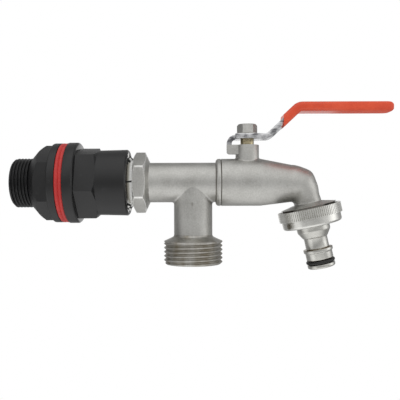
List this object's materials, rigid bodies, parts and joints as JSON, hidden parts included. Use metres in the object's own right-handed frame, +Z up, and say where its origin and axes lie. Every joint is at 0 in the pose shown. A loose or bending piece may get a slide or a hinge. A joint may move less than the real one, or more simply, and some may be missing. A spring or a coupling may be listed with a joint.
{
  "type": "water butt tap",
  "caption": "Ball tap for a water butt: plastic tank connector, tee with a lower outlet, red-sleeved lever, bent spout and knurled hose connector.",
  "frame": {"origin": "on the pipe's axis, on the connector's flange face that seals against the tank", "axes": "+X along the pipe from the tank to the spout, +Z up, so that +Y points to the left of the flow"},
  "size_m": [0.2144, 0.0456, 0.0948],
  "materials": {
    "black_plastic": "satin moulded",
    "red_rubber": "soft satin",
    "white_tape": "matte",
    "plated_brass": "blasted and nickel plated",
    "white_plastic": "smooth",
    "chromed_brass": "polished",
    "bare_brass": "turned",
    "plated_steel": "zinc plated",
    "red_plastic": "dipped, soft gloss",
    "black_rubber": "smooth"
  },
  "bodies": {
    "tap": {"tank_connector_body": "black_plastic", "flange_gasket": "red_rubber", "thread_seal_tape": "white_tape", "inlet_tee": "plated_brass", "tap_body": "plated_brass", "body_joint_seal": "black_rubber", "inlet_ball_seat": "white_plastic", "outlet_ball_seat": "white_plastic"},
    "handle": {"lever": "plated_steel", "lever_sleeve": "red_plastic", "lever_nut": "plated_steel", "stem": "bare_brass", "stem_thrust_washer": "white_plastic", "stem_o_ring_lower": "black_rubber", "stem_o_ring_upper": "black_rubber", "ball": "chromed_brass"},
    "hose_tail": {"hose_nozzle": "plated_brass", "nozzle_o_ring": "black_rubber", "connector_washer": "black_rubber"},
    "union_nut": {"union_nut": "plated_brass"},
    "lock_nut": {"lock_nut": "black_plastic"}
  },
  "joints": [
    {"name": "lever_turn", "type": "hinge", "parent": "tap", "child": "handle", "pos_m": [0.1003, 0, 0], "axis": [0, 0, -1], "range_deg": [0, 90]},
    {"name": "hose_tail_slide", "type": "slide", "parent": "tap", "child": "hose_tail", "axis": [0.213, 0, -0.977], "range_m": [0, 0.00519]},
    {"name": "union_nut_turn", "type": "hinge", "parent": "hose_tail", "child": "union_nut", "pos_m": [0.13528, 0, -0.01446], "axis": [0.213, 0, -0.977], "range_deg": [0, 810]},
    {"name": "lock_nut_slide", "type": "slide", "parent": "tap", "child": "lock_nut", "axis": [-1, 0, 0], "range_m": [0, 0.028]}
  ],
  "couplings": [
    {"joint": "hose_tail_slide", "follows": "union_nut_turn", "m_per_rad": 0.00036749}
  ]
}
